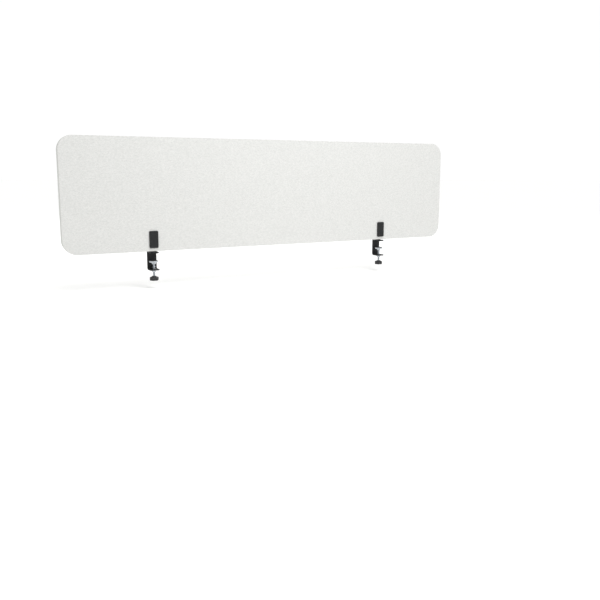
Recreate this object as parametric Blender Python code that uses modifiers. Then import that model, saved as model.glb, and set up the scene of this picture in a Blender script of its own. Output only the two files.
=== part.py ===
"""Desk privacy panel: a laminated felt screen held on a desk's rear edge by two screw clamps.

Metres. +X runs along the panel, +Y points away from the desk's user and +Z is up. The origin is on the
desktop's upper surface, at its rear edge, half way along the panel. The clamps are modelled closed on a
desktop of REST_GRIP thickness.
"""

import math

import bmesh
import bpy

GAP = 0.0003  # left between pieces that touch
RUNNING = 0.0003  # radial clearance round a pin, a thread or a shank
STOP_SPACE = 0.001  # left where a moving piece comes to the end of its travel

# Panel
PANEL_WIDTH = 1.590
PANEL_HEIGHT = 0.395
PANEL_CORNER = 0.050
PANEL_CLEARANCE = 0.0032  # from the jaw plate up to the panel's lower edge
BOARD_THICKNESS = 0.01185  # two boards and the glue line make 24 mm

# Clamps and their front plates
CLAMP_SPACING = 0.968
CLAMP_WIDTH = 0.034
PLATE_WIDTH = 0.032
PLATE_HEIGHT = 0.060
PLATE_LIFT = 0.0115  # from the panel's lower edge up to the plate's
PLATE_THICKNESS = 0.004
PLATE_CORNER = 0.004
PLATE_EDGE = 0.0008
BENT_EDGE = 0.0005

# Jaw plate and its pad
JAW_THICKNESS = 0.003
JAW_REACH = 0.029
JAW_BEND = 0.0025
JAW_CORNER = 0.004
JAW_PAD_THICKNESS = 0.0015
JAW_PAD_INSET = 0.002
JAW_PAD_CORNER = 0.003

# Rear bracket
BRACKET_THICKNESS = 0.004
BRACKET_BEND = 0.005
ARM_NOSE = 0.017  # from the clamp screw's axis to the arm's tip
ARM_CORNER = 0.008

# Standoffs and the screws that pull the bracket up to them
FASTENER_SPACING = 0.036
STANDOFF_RADIUS = 0.004
STANDOFF_HEAD_RADIUS = 0.0055
STANDOFF_HEAD_THICKNESS = 0.0015
SCREW_RADIUS = 0.0025
SCREW_LENGTH = 0.020
SCREW_HEAD_RADIUS = 0.00475
SCREW_HEAD_HEIGHT = 0.00275
DOME_ANGLE = 62  # degrees of the head's curve, from its rim to its flat top
SOCKET_WIDTH = 0.003
SOCKET_DEPTH = 0.0014

# What the clamp can hold
MIN_GRIP = 0.012
REST_GRIP = 0.025
MAX_GRIP = 0.042

# Pressure foot
FOOT_PAD_RADIUS = 0.0135
FOOT_PAD_THICKNESS = 0.003
FOOT_RIM_WALL = 0.0015
FOOT_RIM_HEIGHT = 0.0018
FOOT_WEB = 0.0035
FOOT_HUB_HEIGHT = 0.006
FOOT_HUB_WALL = 0.004

# Clamp screw
SCREW_SETBACK = 0.016  # from the desk's rear edge forward to the clamp screw's axis
THREAD_RADIUS = 0.004
PIN_RADIUS = 0.0028
GROOVE_DEPTH = 0.0006
RING_THICKNESS = 0.0008
RING_WIDTH = 0.0025
RING_OPENING = 70  # degrees
CHAMFER = 0.0006
NUT_WIDTH = 0.013
NUT_HEIGHT = 0.0065
NUT_CHAMFER_ANGLE = 30  # degrees

# Knob
KNOB_RADIUS = 0.016
KNOB_HEIGHT = 0.013
KNOB_LOBES = 6
KNOB_LOBE_DEPTH = 0.0024
KNOB_EDGE = 0.0015
KNOB_COLLAR_RADIUS = 0.008
KNOB_COLLAR_HEIGHT = 0.003
KNOB_GRIP = 0.012  # length of the clamp screw inside the knob

# Heights that follow from the sizes above
JAW_BOTTOM = JAW_PAD_THICKNESS + GAP
JAW_TOP = JAW_BOTTOM + JAW_THICKNESS
PANEL_BOTTOM = JAW_TOP + PANEL_CLEARANCE
PLATE_BOTTOM = PANEL_BOTTOM + PLATE_LIFT
PLATE_TOP = PLATE_BOTTOM + PLATE_HEIGHT
PLATE_MIDDLE = (PLATE_BOTTOM + PLATE_TOP) / 2
FOOT_SEAT = -REST_GRIP - FOOT_PAD_THICKNESS - GAP
FOOT_POCKET = FOOT_SEAT - RING_THICKNESS - 2 * GAP - CHAMFER
RING_BOTTOM = FOOT_POCKET + GAP
WEB_BOTTOM = FOOT_SEAT - FOOT_WEB
HUB_BOTTOM = WEB_BOTTOM - FOOT_HUB_HEIGHT
ARM_TOP = HUB_BOTTOM - (MAX_GRIP - REST_GRIP) - STOP_SPACE
ARM_BOTTOM = ARM_TOP - BRACKET_THICKNESS
NUT_BOTTOM = ARM_BOTTOM - GAP - NUT_HEIGHT
KNOB_TOP = NUT_BOTTOM - (REST_GRIP - MIN_GRIP) - STOP_SPACE

# Depths that follow
PANEL_THICKNESS = 2 * BOARD_THICKNESS + GAP
PLATE_BACK = -PANEL_THICKNESS - GAP
JAW_BACK = GAP + JAW_THICKNESS
BRACKET_FRONT = JAW_BACK + GAP
BRACKET_BACK = BRACKET_FRONT + BRACKET_THICKNESS
SCREW_SEAT = BRACKET_BACK + GAP

FINE = 0.0001
ROUND = 24  # facets round a turned piece
HOLE = 20  # facets round a drilled hole
CORNER = 5  # steps round a rounded corner or a bend
PANEL_STEPS = 12  # steps round the panel's larger corners
LOBE_STEPS = 8
SHARP_ANGLE = 40  # degrees between faces above which an edge stays sharp
FACING = (math.radians(90), 0, 0)  # a flat outline stood up, seen from the front
SIDEWAYS = (math.radians(90), 0, math.radians(90))  # a side outline, drawn as depth and height
REARWARD = (math.radians(-90), 0, 0)  # a turned piece whose top points to the rear


def clear_scene():
    for thing in list(bpy.data.objects):
        bpy.data.objects.remove(thing)


def new_collection(name):
    collection = bpy.data.collections.new(name)
    bpy.context.scene.collection.children.link(collection)
    return collection


def principled(name, colour, roughness, metallic):
    material = bpy.data.materials.new(name)
    material.use_nodes = True
    shader = material.node_tree.nodes["Principled BSDF"]
    shader.inputs["Base Color"].default_value = (*colour, 1.0)
    shader.inputs["Roughness"].default_value = roughness
    shader.inputs["Metallic"].default_value = metallic
    material.diffuse_color = (*colour, 1.0)
    return material


def felt():
    return principled("felt", (0.80, 0.81, 0.78), 0.95, 0.0)


def powder_coat():
    return principled("powder_coat", (0.035, 0.036, 0.036), 0.60, 0.0)


def zinc():
    return principled("zinc", (0.62, 0.63, 0.64), 0.35, 1.0)


def black_oxide():
    return principled("black_oxide", (0.045, 0.046, 0.048), 0.40, 1.0)


def rubber():
    return principled("rubber", (0.020, 0.020, 0.020), 0.85, 0.0)


def knob_plastic():
    return principled("knob_plastic", (0.025, 0.025, 0.026), 0.55, 0.0)


def arc(centre_x, centre_y, radius, start, end, steps=CORNER):
    """Points along an arc, from one angle to the other, in degrees."""
    angles = [math.radians(start + (end - start) * step / steps) for step in range(steps + 1)]
    return [(centre_x + radius * math.cos(a), centre_y + radius * math.sin(a)) for a in angles]


def circle(centre_x, centre_y, radius, steps=HOLE):
    return arc(centre_x, centre_y, radius, 0, 360, steps)[:-1]


def rounded_rectangle(width, height, radius, steps=CORNER):
    x = width / 2 - radius
    y = height / 2 - radius
    return (
        arc(x, y, radius, 0, 90, steps)
        + arc(-x, y, radius, 90, 180, steps)
        + arc(-x, -y, radius, 180, 270, steps)
        + arc(x, -y, radius, 270, 360, steps)
    )


def bent_strip(reach, under, thickness, leg_front, top, bend):
    """Side outline of a strip that lies forward to -reach and is bent up into a leg, as (depth, height)."""
    centre_y = leg_front - bend
    centre_z = under + thickness + bend
    outside = arc(centre_y, centre_z, bend + thickness, -90, 0)
    inside = arc(centre_y, centre_z, bend, 0, -90)
    leg = [(leg_front + thickness, top), (leg_front, top)]
    return [(-reach, under)] + outside + leg + inside + [(-reach, under + thickness)]


def lobed_outline(radius, lobes, depth):
    """Closed wave round a circle: each lobe's crest is at the radius and each hollow a depth inside it."""
    points = []
    steps = lobes * LOBE_STEPS
    for step in range(steps):
        angle = math.tau * step / steps
        r = radius - depth * (1 - math.cos(lobes * angle)) / 2
        points.append((r * math.cos(angle), r * math.sin(angle)))
    return points


def flat_mesh(name, loops, thickness):
    """A closed slab with the given outline, centred on its own XY plane. Later loops are holes."""
    curve = bpy.data.curves.new(name, "CURVE")
    curve.dimensions = "2D"
    curve.fill_mode = "BOTH"
    curve.extrude = thickness / 2
    for loop in loops:
        spline = curve.splines.new("POLY")
        spline.points.add(len(loop) - 1)
        spline.use_cyclic_u = True
        for point, (x, y) in zip(spline.points, loop):
            point.co = (x, y, 0, 1)
    outline = bpy.data.objects.new(name, curve)
    bpy.context.scene.collection.objects.link(outline)
    graph = bpy.context.evaluated_depsgraph_get()
    mesh = bpy.data.meshes.new_from_object(outline.evaluated_get(graph))
    bpy.data.objects.remove(outline)
    bpy.data.curves.remove(curve)
    body = bmesh.new()
    body.from_mesh(mesh)
    bmesh.ops.remove_doubles(body, verts=body.verts, dist=FINE / 10)
    bmesh.ops.recalc_face_normals(body, faces=body.faces)
    body.to_mesh(mesh)
    body.free()
    mesh.materials.clear()
    mesh.shade_smooth()
    mesh.set_sharp_from_angle(angle=math.radians(SHARP_ANGLE))
    return mesh


def round_corners(mesh, along, across, value, radius):
    """Rounds the edges that run along one axis where another axis has the given value."""
    body = bmesh.new()
    body.from_mesh(mesh)
    corners = []
    for edge in body.edges:
        step = edge.verts[1].co - edge.verts[0].co
        there = all(abs(vert.co[across] - value) < FINE for vert in edge.verts)
        if there and abs(step[along]) > 0.99 * step.length:
            corners.append(edge)
    bmesh.ops.bevel(body, geom=corners, offset=radius, segments=CORNER, profile=0.5, affect="EDGES")
    bmesh.ops.recalc_face_normals(body, faces=body.faces)
    body.to_mesh(mesh)
    body.free()


def place(name, mesh, material, collection, parent, location=(0, 0, 0), rotation=(0, 0, 0)):
    piece = bpy.data.objects.new(name, mesh)
    mesh.name = name
    if material:
        mesh.materials.append(material)
    piece.location = location
    piece.rotation_euler = rotation
    piece.parent = parent
    collection.objects.link(piece)
    return piece


def turned(name, profile, material, collection, parent, closed=False, **where):
    """A turned piece from (radius, height) points, its outer side listed from the top to the bottom."""
    mesh = bpy.data.meshes.new(name)
    count = len(profile)
    edges = [(i, i + 1) for i in range(count - 1)]
    if closed:
        edges.append((count - 1, 0))
    mesh.from_pydata([(r, 0, z) for r, z in profile], edges, [])
    piece = place(name, mesh, material, collection, parent, **where)
    screw = piece.modifiers.new("Turn", "SCREW")
    screw.steps = ROUND
    screw.render_steps = ROUND
    screw.use_merge_vertices = True
    screw.merge_threshold = FINE / 10
    screw.use_smooth_shade = True
    return piece


def soften(piece, width, segments=1):
    bevel = piece.modifiers.new("Edge", "BEVEL")
    bevel.width = width
    bevel.segments = segments
    bevel.limit_method = "ANGLE"
    bevel.angle_limit = math.radians(SHARP_ANGLE)


def combine(piece, other, operation):
    boolean = piece.modifiers.new(operation.title(), "BOOLEAN")
    boolean.operation = operation
    boolean.solver = "EXACT"
    boolean.object = other


def hide_tool(tool, cutters):
    """Moves a shape that only cuts or joins into the cutters' collection, out of the render."""
    for collection in tool.users_collection:
        collection.objects.unlink(tool)
    cutters.objects.link(tool)
    tool.hide_render = True
    tool.display_type = "WIRE"


def drill(piece, cutters, radius, depth, location, rotation=(0, 0, 0), sides=HOLE):
    """Cuts a round hole, or with few sides a polygonal one, through or into a piece."""
    bpy.ops.mesh.primitive_cylinder_add(vertices=sides, radius=radius, depth=depth)
    tool = bpy.context.object
    tool.name = piece.name + "_drill"
    tool.location = location
    tool.rotation_euler = rotation
    tool.parent = piece.parent
    hide_tool(tool, cutters)
    combine(piece, tool, "DIFFERENCE")


def fastener_heights():
    half = FASTENER_SPACING / 2
    return {"upper": PLATE_MIDDLE + half, "lower": PLATE_MIDDLE - half}


def felt_boards(parts, material):
    """Front and rear board, each drilled for the standoffs."""
    middle = PANEL_BOTTOM + PANEL_HEIGHT / 2
    outline = rounded_rectangle(PANEL_WIDTH, PANEL_HEIGHT, PANEL_CORNER, PANEL_STEPS)
    holes = [
        circle(side * CLAMP_SPACING / 2, height - middle, STANDOFF_RADIUS + RUNNING)
        for side in (-1, 1)
        for height in fastener_heights().values()
    ]
    rear_centre = -BOARD_THICKNESS / 2
    front_centre = rear_centre - BOARD_THICKNESS - GAP
    for name, depth in (("front_felt_board", front_centre), ("rear_felt_board", rear_centre)):
        mesh = flat_mesh(name, [outline] + holes, BOARD_THICKNESS)
        place(name, mesh, material, parts, None, (0, depth, middle), FACING)


def front_plate(side, parts, cutters, clamp, material):
    outline = rounded_rectangle(PLATE_WIDTH, PLATE_HEIGHT, PLATE_CORNER)
    mesh = flat_mesh("plate", [outline], PLATE_THICKNESS)
    centre = PLATE_BACK - PLATE_THICKNESS / 2
    piece = place(side + "_front_plate", mesh, material, parts, clamp, (0, centre, PLATE_MIDDLE), FACING)
    soften(piece, PLATE_EDGE, 2)
    pocket = STANDOFF_HEAD_THICKNESS + GAP
    for height in fastener_heights().values():
        drill(
            piece,
            cutters,
            STANDOFF_HEAD_RADIUS + RUNNING,
            2 * pocket,
            (0, PLATE_BACK, height),
            REARWARD,
        )


def standoff(name, height, parts, clamp, material):
    """Blind threaded barrel, pressed into the front plate and open to the rear."""
    head_front = -STANDOFF_HEAD_THICKNESS
    length = PANEL_THICKNESS
    screw_tip = SCREW_SEAT - SCREW_LENGTH - PLATE_BACK
    bore_end = screw_tip - STOP_SPACE
    bore = SCREW_RADIUS + RUNNING
    profile = [
        (bore, length - CHAMFER),
        (bore + CHAMFER, length),
        (STANDOFF_RADIUS - CHAMFER / 2, length),
        (STANDOFF_RADIUS, length - CHAMFER / 2),
        (STANDOFF_RADIUS, 0),
        (STANDOFF_HEAD_RADIUS, 0),
        (STANDOFF_HEAD_RADIUS, head_front),
        (0, head_front),
    ]
    blind = [(0, bore_end), (bore, bore_end)]
    turned(
        name,
        blind + profile,
        material,
        parts,
        clamp,
        location=(0, PLATE_BACK, height),
        rotation=REARWARD,
    )


def bracket_screw(name, height, parts, cutters, clamp, material):
    """Button-head machine screw with a hexagon socket, its head to the rear."""
    dome = arc(0, 0, 1, DOME_ANGLE, 0)
    rise = SCREW_HEAD_HEIGHT / math.sin(math.radians(DOME_ANGLE))
    head = [(SCREW_HEAD_RADIUS * across, rise * up) for across, up in dome]
    profile = [(0, SCREW_HEAD_HEIGHT)] + head
    profile += [
        (SCREW_RADIUS, 0),
        (SCREW_RADIUS, CHAMFER - SCREW_LENGTH),
        (SCREW_RADIUS - CHAMFER, -SCREW_LENGTH),
        (0, -SCREW_LENGTH),
    ]
    seat = (0, SCREW_SEAT, height)
    piece = turned(name, profile, material, parts, clamp, location=seat, rotation=REARWARD)
    drill(
        piece,
        cutters,
        SOCKET_WIDTH / math.sqrt(3),
        2 * SOCKET_DEPTH,
        (0, SCREW_SEAT + SCREW_HEAD_HEIGHT, height),
        REARWARD,
        6,
    )


def jaw_plate(side, parts, cutters, clamp, material):
    """Upper jaw: lies on the desktop under the panel and is bent up behind it."""
    bend = min(JAW_BEND, PANEL_CLEARANCE)
    outline = bent_strip(JAW_REACH, JAW_BOTTOM, JAW_THICKNESS, GAP, PLATE_TOP, bend)
    mesh = flat_mesh("jaw", [outline], CLAMP_WIDTH)
    round_corners(mesh, 1, 0, -JAW_REACH, JAW_CORNER)
    round_corners(mesh, 0, 1, PLATE_TOP, PLATE_CORNER)
    piece = place(side + "_jaw_plate", mesh, material, parts, clamp, rotation=SIDEWAYS)
    soften(piece, BENT_EDGE)
    for height in fastener_heights().values():
        drill(
            piece,
            cutters,
            SCREW_RADIUS + RUNNING,
            3 * JAW_THICKNESS,
            (0, GAP + JAW_THICKNESS / 2, height),
            REARWARD,
        )


def rear_bracket(side, parts, cutters, clamp, material):
    """Strap down behind the panel and the desk's edge, bent forward into the lower arm."""
    reach = SCREW_SETBACK + ARM_NOSE
    outline = bent_strip(
        reach, ARM_BOTTOM, BRACKET_THICKNESS, BRACKET_FRONT, PLATE_TOP, BRACKET_BEND
    )
    mesh = flat_mesh("bracket", [outline], CLAMP_WIDTH)
    round_corners(mesh, 1, 0, -reach, ARM_CORNER)
    round_corners(mesh, 0, 1, PLATE_TOP, PLATE_CORNER)
    piece = place(side + "_rear_bracket", mesh, material, parts, clamp, rotation=SIDEWAYS)
    soften(piece, BENT_EDGE)
    depth = 3 * BRACKET_THICKNESS
    middle = BRACKET_FRONT + BRACKET_THICKNESS / 2
    for height in fastener_heights().values():
        drill(piece, cutters, SCREW_RADIUS + RUNNING, depth, (0, middle, height), REARWARD)
    arm_middle = ARM_TOP - BRACKET_THICKNESS / 2
    drill(piece, cutters, THREAD_RADIUS + RUNNING, depth, (0, -SCREW_SETBACK, arm_middle))


def jaw_pad(side, parts, clamp, material):
    length = JAW_REACH - 2 * JAW_PAD_INSET
    width = CLAMP_WIDTH - 2 * JAW_PAD_INSET
    mesh = flat_mesh("pad", [rounded_rectangle(width, length, JAW_PAD_CORNER)], JAW_PAD_THICKNESS)
    location = (0, -JAW_REACH / 2, JAW_PAD_THICKNESS / 2)
    place(side + "_jaw_pad", mesh, material, parts, clamp, location)


def clamp_nut(side, parts, cutters, clamp, material):
    """Hexagon nut under the arm, its corners turned down at both ends."""
    corner = NUT_WIDTH / math.sqrt(3)
    bpy.ops.mesh.primitive_cylinder_add(vertices=6, radius=corner, depth=NUT_HEIGHT)
    piece = bpy.context.object
    for collection in piece.users_collection:
        collection.objects.unlink(piece)
    parts.objects.link(piece)
    piece.name = side + "_clamp_nut"
    piece.data.name = piece.name
    piece.data.materials.append(material)
    piece.parent = clamp
    piece.location = (0, -SCREW_SETBACK, NUT_BOTTOM + NUT_HEIGHT / 2)
    slope = math.tan(math.radians(NUT_CHAMFER_ANGLE))
    top = NUT_HEIGHT / 2 + CHAMFER
    inner = NUT_WIDTH / 2 - CHAMFER / slope
    outer = corner + CHAMFER
    edge = top - (outer - inner) * slope
    profile = [(0, top), (inner, top), (outer, edge), (outer, -edge), (inner, -top), (0, -top)]
    barrel = turned(piece.name + "_barrel", profile, None, cutters, clamp, location=piece.location)
    hide_tool(barrel, cutters)
    combine(piece, barrel, "INTERSECT")
    drill(piece, cutters, THREAD_RADIUS + RUNNING, 2 * NUT_HEIGHT, piece.location)


def pressure_foot(side, parts, foot, material):
    """Turned foot: a rimmed seat for the pad, a pocket for the ring and a hub round the screw's pin."""
    seat_radius = FOOT_PAD_RADIUS + GAP
    rim_radius = seat_radius + FOOT_RIM_WALL
    rim_top = FOOT_SEAT + FOOT_RIM_HEIGHT
    hole = PIN_RADIUS + RUNNING
    pocket = PIN_RADIUS - GROOVE_DEPTH + GAP + RING_WIDTH + 2 * RUNNING
    hub = hole + FOOT_HUB_WALL
    fillet = FOOT_HUB_HEIGHT / 3
    profile = [
        (rim_radius - CHAMFER, rim_top),
        (rim_radius, rim_top - CHAMFER),
        (rim_radius, WEB_BOTTOM + CHAMFER),
        (rim_radius - CHAMFER, WEB_BOTTOM),
    ]
    profile += arc(hub + fillet, WEB_BOTTOM - fillet, fillet, 90, 180, 3)
    profile += [
        (hub, HUB_BOTTOM + CHAMFER),
        (hub - CHAMFER, HUB_BOTTOM),
        (hole, HUB_BOTTOM),
        (hole, FOOT_POCKET),
        (pocket, FOOT_POCKET),
        (pocket, FOOT_SEAT),
        (seat_radius, FOOT_SEAT),
        (seat_radius, rim_top),
    ]
    turned(side + "_pressure_foot", profile, material, parts, foot, closed=True)


def foot_pad(side, parts, foot, material):
    bottom = FOOT_SEAT + GAP
    profile = [
        (0, -REST_GRIP),
        (FOOT_PAD_RADIUS - CHAMFER, -REST_GRIP),
        (FOOT_PAD_RADIUS, -REST_GRIP - CHAMFER),
        (FOOT_PAD_RADIUS, bottom),
        (0, bottom),
    ]
    turned(side + "_foot_pad", profile, material, parts, foot)


def spindle(side, parts, screw, material):
    """Clamp screw: a grooved pin in the foot, a shoulder under it, and the thread down to the knob."""
    groove = PIN_RADIUS - GROOVE_DEPTH
    groove_bottom = RING_BOTTOM - GAP
    groove_top = RING_BOTTOM + RING_THICKNESS + GAP
    shoulder = HUB_BOTTOM - GAP
    bottom = KNOB_TOP - KNOB_GRIP
    profile = [
        (0, FOOT_SEAT),
        (PIN_RADIUS - CHAMFER / 2, FOOT_SEAT),
        (PIN_RADIUS, FOOT_SEAT - CHAMFER / 2),
        (PIN_RADIUS, groove_top),
        (groove, groove_top),
        (groove, groove_bottom),
        (PIN_RADIUS, groove_bottom),
        (PIN_RADIUS, shoulder),
        (THREAD_RADIUS - CHAMFER, shoulder),
        (THREAD_RADIUS, shoulder - CHAMFER),
        (THREAD_RADIUS, bottom + CHAMFER),
        (THREAD_RADIUS - CHAMFER, bottom),
        (0, bottom),
    ]
    turned(side + "_spindle", profile, material, parts, screw)


def retaining_ring(side, parts, screw, material):
    """Open snap ring in the pin's groove, resting on the foot's pocket."""
    inner = PIN_RADIUS - GROOVE_DEPTH + GAP
    outer = inner + RING_WIDTH
    half = RING_OPENING / 2
    outline = arc(0, 0, outer, half, 360 - half, HOLE) + arc(0, 0, inner, 360 - half, half, HOLE)
    mesh = flat_mesh("ring", [outline], RING_THICKNESS)
    location = (0, 0, RING_BOTTOM + RING_THICKNESS / 2)
    place(side + "_retaining_ring", mesh, material, parts, screw, location)


def knob(side, parts, cutters, screw, material):
    """Lobed hand knob with a collar that meets the nut at the end of its travel."""
    body_top = KNOB_TOP - KNOB_COLLAR_HEIGHT
    mesh = flat_mesh("knob", [lobed_outline(KNOB_RADIUS, KNOB_LOBES, KNOB_LOBE_DEPTH)], KNOB_HEIGHT)
    location = (0, 0, body_top - KNOB_HEIGHT / 2)
    piece = place(side + "_knob", mesh, material, parts, screw, location)
    soften(piece, KNOB_EDGE, 2)
    buried = body_top - KNOB_HEIGHT / 2
    profile = [
        (0, KNOB_TOP),
        (KNOB_COLLAR_RADIUS - CHAMFER, KNOB_TOP),
        (KNOB_COLLAR_RADIUS, KNOB_TOP - CHAMFER),
        (KNOB_COLLAR_RADIUS, buried),
        (0, buried),
    ]
    collar = turned(piece.name + "_collar", profile, None, cutters, screw)
    hide_tool(collar, cutters)
    combine(piece, collar, "UNION")
    depth = KNOB_GRIP + GAP
    drill(piece, cutters, THREAD_RADIUS + GAP, 2 * depth, (0, 0, KNOB_TOP))


def shade(parts):
    """Lets the large flat faces keep their own shading beside small chamfers and bends."""
    for piece in parts.objects:
        weighted = piece.modifiers.new("Shading", "WEIGHTED_NORMAL")
        weighted.keep_sharp = True


def joint_axis(name, parent, location):
    axis = bpy.data.objects.new(name, None)
    axis.location = location
    axis.parent = parent
    bpy.context.scene.collection.objects.link(axis)
    return axis


def clamp(side, x, parts, cutters, materials):
    """One whole clamp round its own centre plane, with the foot and the screw on the screw's axis."""
    frame = joint_axis(side + "_clamp", None, (x, 0, 0))
    foot = joint_axis(side + "_foot_axis", frame, (0, -SCREW_SETBACK, 0))
    screw = joint_axis(side + "_screw_axis", foot, (0, 0, 0))
    front_plate(side, parts, cutters, frame, materials["coat"])
    jaw_plate(side, parts, cutters, frame, materials["coat"])
    rear_bracket(side, parts, cutters, frame, materials["coat"])
    for level, height in fastener_heights().items():
        standoff(f"{side}_{level}_standoff", height, parts, frame, materials["zinc"])
        bracket_screw(f"{side}_{level}_screw", height, parts, cutters, frame, materials["black"])
    jaw_pad(side, parts, frame, materials["rubber"])
    clamp_nut(side, parts, cutters, frame, materials["zinc"])
    pressure_foot(side, parts, foot, materials["zinc"])
    foot_pad(side, parts, foot, materials["rubber"])
    spindle(side, parts, screw, materials["zinc"])
    retaining_ring(side, parts, screw, materials["zinc"])
    knob(side, parts, cutters, screw, materials["plastic"])


def build():
    clear_scene()
    parts = new_collection("desk_privacy_panel")
    cutters = new_collection("cutters")
    materials = {
        "coat": powder_coat(),
        "zinc": zinc(),
        "black": black_oxide(),
        "rubber": rubber(),
        "plastic": knob_plastic(),
    }
    felt_boards(parts, felt())
    for side, sign in (("left", -1), ("right", 1)):
        clamp(side, sign * CLAMP_SPACING / 2, parts, cutters, materials)
    shade(parts)


build()
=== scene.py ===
import math

import bmesh
import bpy
from mathutils import Matrix, Vector


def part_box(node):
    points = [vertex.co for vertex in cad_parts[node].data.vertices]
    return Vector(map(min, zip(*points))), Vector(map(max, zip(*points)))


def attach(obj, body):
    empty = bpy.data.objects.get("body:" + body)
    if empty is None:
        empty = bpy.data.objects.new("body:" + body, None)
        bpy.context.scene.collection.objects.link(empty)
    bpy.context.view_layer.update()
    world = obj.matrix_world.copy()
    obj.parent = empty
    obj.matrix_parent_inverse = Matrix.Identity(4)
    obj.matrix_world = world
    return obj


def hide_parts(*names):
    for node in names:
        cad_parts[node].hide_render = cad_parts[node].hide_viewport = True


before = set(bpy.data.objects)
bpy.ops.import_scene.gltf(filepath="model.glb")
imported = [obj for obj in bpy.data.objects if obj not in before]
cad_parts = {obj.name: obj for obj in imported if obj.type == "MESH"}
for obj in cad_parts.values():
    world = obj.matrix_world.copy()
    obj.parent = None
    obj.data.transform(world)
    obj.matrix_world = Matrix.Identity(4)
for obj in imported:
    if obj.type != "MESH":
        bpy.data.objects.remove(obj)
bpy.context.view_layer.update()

mm = 0.001
tiny = 0.001 * mm
sides = ("left", "right")
levels = ("upper", "lower")
print("frame loaded,", len(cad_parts), "nodes")


def linearColour(hexColour):
    channels = [int(hexColour[i:i + 2], 16) / 255 for i in (1, 3, 5)]
    return [c / 12.92 if c <= 0.04045 else ((c + 0.055) / 1.055) ** 2.4 for c in channels] + [1.0]


# inputs maps a socket's name or number to a number, a socket, or a node, whose first live output is used
def addNode(tree, kind, inputs=None, **settings):
    node = tree.nodes.new(kind)
    for name, value in settings.items():
        setattr(node, name, value)
    for name, value in (inputs or {}).items():
        if isinstance(value, bpy.types.Node):
            value = next(output for output in value.outputs if output.enabled)
        if isinstance(value, bpy.types.NodeSocket):
            tree.links.new(value, node.inputs[name])
        else:
            node.inputs[name].default_value = value
    return node


def startMaterial(name, values):
    material = bpy.data.materials.new(name)
    material.use_nodes = True
    shader = material.node_tree.nodes["Principled BSDF"]
    for socketName, value in values.items():
        shader.inputs[socketName].default_value = value
    return material, material.node_tree, shader


def linkShader(tree, shader, colour, roughness, bump):
    for socketName, node in (("Base Color", colour), ("Roughness", roughness), ("Normal", bump)):
        if node:
            tree.links.new(next(o for o in node.outputs if o.enabled), shader.inputs[socketName])


# Needle-punched polyester felt: crimped fibres of two shades lie every way in the board's plane, so the
# face is matt and softly marled, and a cut edge shows the layers. The real fibres are 0.03 mm thick and
# are drawn 0.9 mm wide, so that they show.
feltFinish = {
    "fleece": "#D1D1CF",
    "grey": "#B2B4B1",
    "white": "#F0F0ED",
    "edge": "#D8D9D5",
    "fibreWidth": 0.9 * mm,
    "fibreLength": 11 * mm,
    "greyTurns": (8, 97),
    "whiteTurns": (51, 142),
    "marling": 4.6 * mm,
    "marlingRun": 8 * mm,
    "needleMark": 2.2 * mm,
    "layer": 0.9 * mm,
    "layerRun": 26 * mm,
    "relief": 0.35 * mm,
    "marlingShare": 0.34,
    "greyShare": 0.3,
    "whiteShare": 0.45,
    "lineEdge": 0.035,
}


# thin lines where a stretched noise crosses its middle value, turned about the board's normal
def fibreLines(tree, place, turns, f):
    lines = None
    for turn in turns:
        size = (f["fibreLength"], f["fibreWidth"], f["fibreWidth"])
        inputs = {"Vector": place, "Rotation": (0, math.radians(turn), 0), "Scale": size}
        along = addNode(tree, "ShaderNodeMapping", inputs, vector_type="TEXTURE")
        strand = addNode(tree, "ShaderNodeTexNoise", {"Vector": along, "Scale": 1.0, "Distortion": 0.9})
        off = addNode(tree, "ShaderNodeMath", {0: strand, 1: 0.5}, operation="SUBTRACT")
        off = addNode(tree, "ShaderNodeMath", {0: off}, operation="ABSOLUTE")
        line = {"Value": off, "From Max": f["lineEdge"], "To Min": 1.0, "To Max": 0.0}
        line = addNode(tree, "ShaderNodeMapRange", line)
        lines = addNode(tree, "ShaderNodeMath", {0: lines, 1: line}, operation="MAXIMUM") if lines else line
    return lines


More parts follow.
